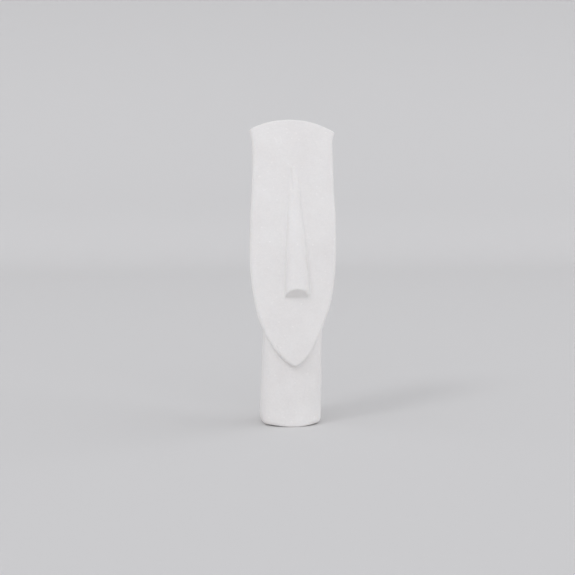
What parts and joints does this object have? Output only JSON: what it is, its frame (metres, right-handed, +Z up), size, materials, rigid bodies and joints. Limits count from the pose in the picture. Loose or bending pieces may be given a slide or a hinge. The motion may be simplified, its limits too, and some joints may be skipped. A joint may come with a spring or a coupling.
{
  "type": "marble head sculpture",
  "caption": "Tall flat-faced stone head with only a long wedge nose, a pointed chin and an arched crown, on an oval neck cut flat to stand.",
  "frame": {"origin": "centre of the flat foot of the neck, on the surface it stands on", "axes": "+Z up along the neck, the face looks toward -Y, +X is on the viewer's right"},
  "size_m": [0.1011, 0.0857, 0.3484],
  "materials": {
    "white_marble": "abraded satin"
  },
  "bodies": {
    "root": {"marble_head": "white_marble"}
  },
  "joints": []
}
